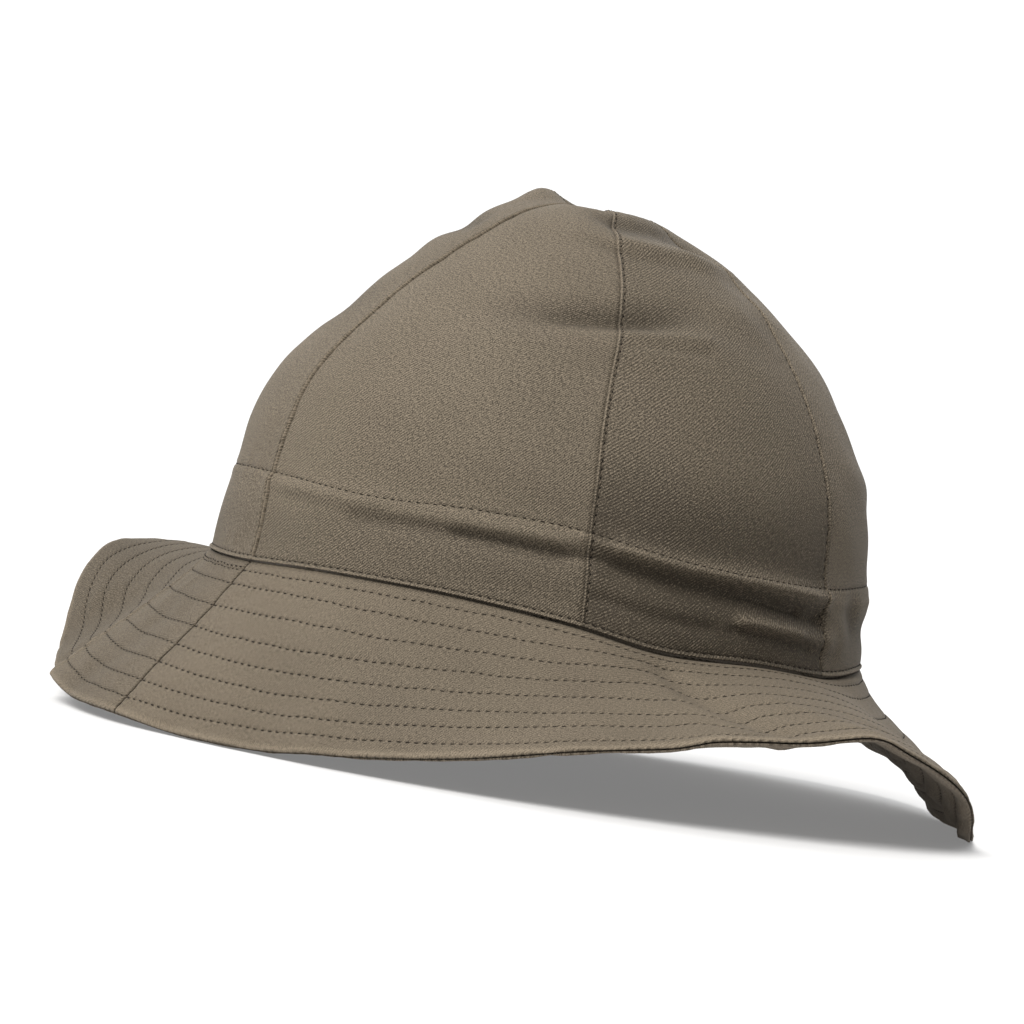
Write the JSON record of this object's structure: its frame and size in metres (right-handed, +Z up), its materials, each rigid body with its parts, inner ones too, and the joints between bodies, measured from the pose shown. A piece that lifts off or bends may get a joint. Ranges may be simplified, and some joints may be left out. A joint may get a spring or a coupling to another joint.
{
  "type": "sun hat",
  "caption": "Soft cotton twill sun hat: a deep domed crown of sewn panels and a wide drooping brim of two cloth layers, lying on its brim.",
  "frame": {"origin": "middle of the hat's outline seen from above, on the surface that the brim lies on", "axes": "+X from the front to the back of the hat, +Y from the side that the picture shows to the far side, +Z up through the crown"},
  "size_m": [0.2888, 0.2576, 0.176],
  "materials": {
    "crown_cloth": "matte cotton twill",
    "brim_cloth": "matte stitched cotton twill",
    "brim_under_cloth": "matte stitched cotton twill"
  },
  "bodies": {
    "root": {"crown_panel_near_front": "crown_cloth", "crown_panel_near_back": "crown_cloth", "crown_panel_back": "crown_cloth", "crown_panel_far_back": "crown_cloth", "crown_panel_far_front": "crown_cloth", "crown_panel_front": "crown_cloth", "brim_top_near": "brim_cloth", "brim_top_far": "brim_cloth", "brim_under_near": "brim_under_cloth", "brim_under_far": "brim_under_cloth"}
  },
  "joints": []
}
